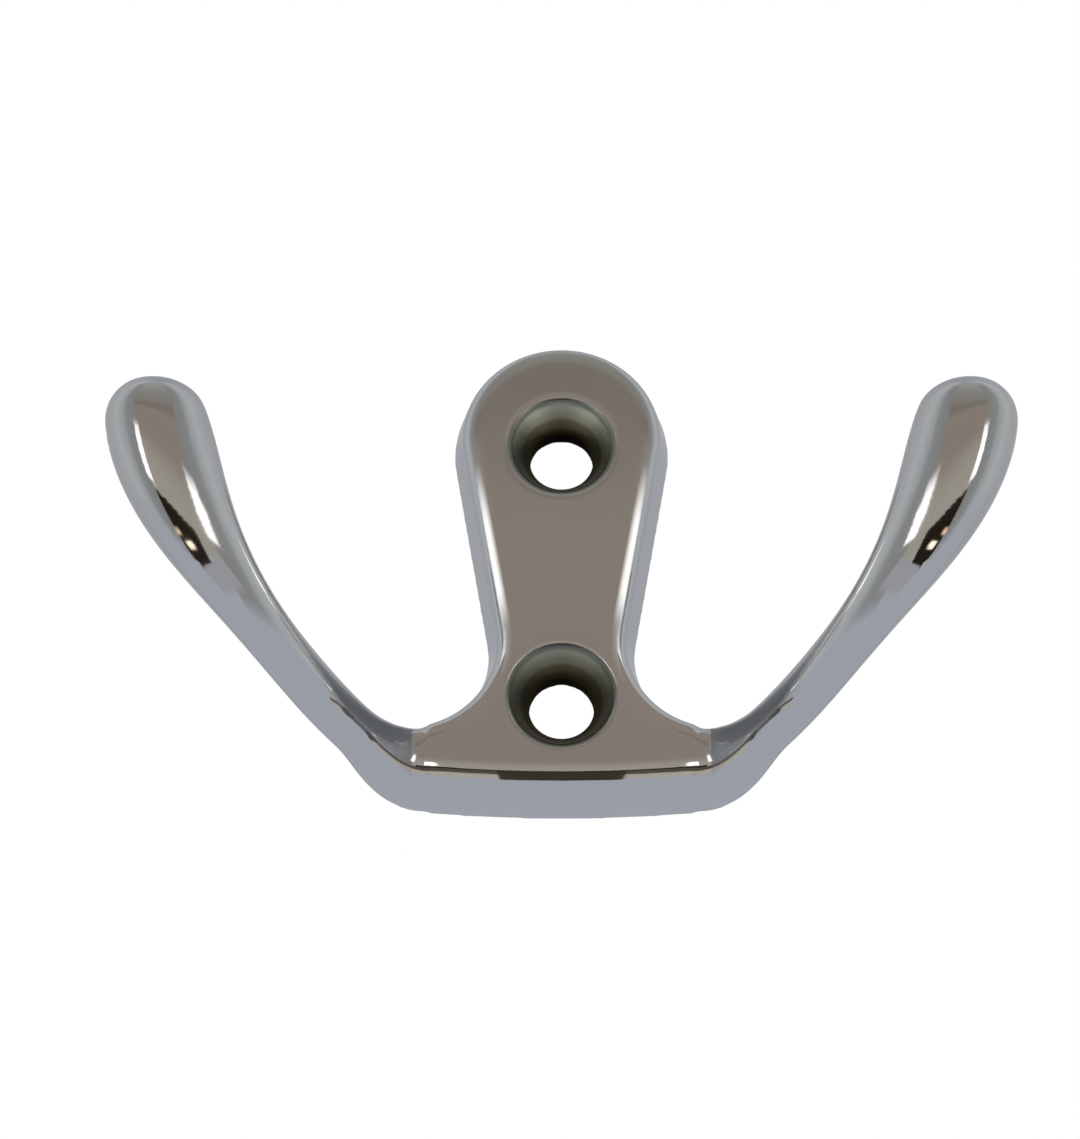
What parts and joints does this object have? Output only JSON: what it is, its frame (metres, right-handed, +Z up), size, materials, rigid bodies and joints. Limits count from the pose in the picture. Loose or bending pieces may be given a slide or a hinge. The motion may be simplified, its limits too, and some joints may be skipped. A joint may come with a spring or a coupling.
{
  "type": "double robe hook",
  "caption": "Chrome-plated cast wall hook: a pear-shaped screw plate with arms that sweep out, forward and up from its lower corners and end in rounded bulbs, for robes, towels and coats.",
  "frame": {"origin": "on the back face of the plate, midway between the two screw holes", "axes": "+X along the wall to the right seen from the front, +Y into the wall, +Z up"},
  "size_m": [0.0758, 0.026, 0.0447],
  "materials": {
    "chrome_plate": "bright chrome plating over a polished zinc casting"
  },
  "bodies": {
    "root": {"hook_body": "chrome_plate"}
  },
  "joints": []
}
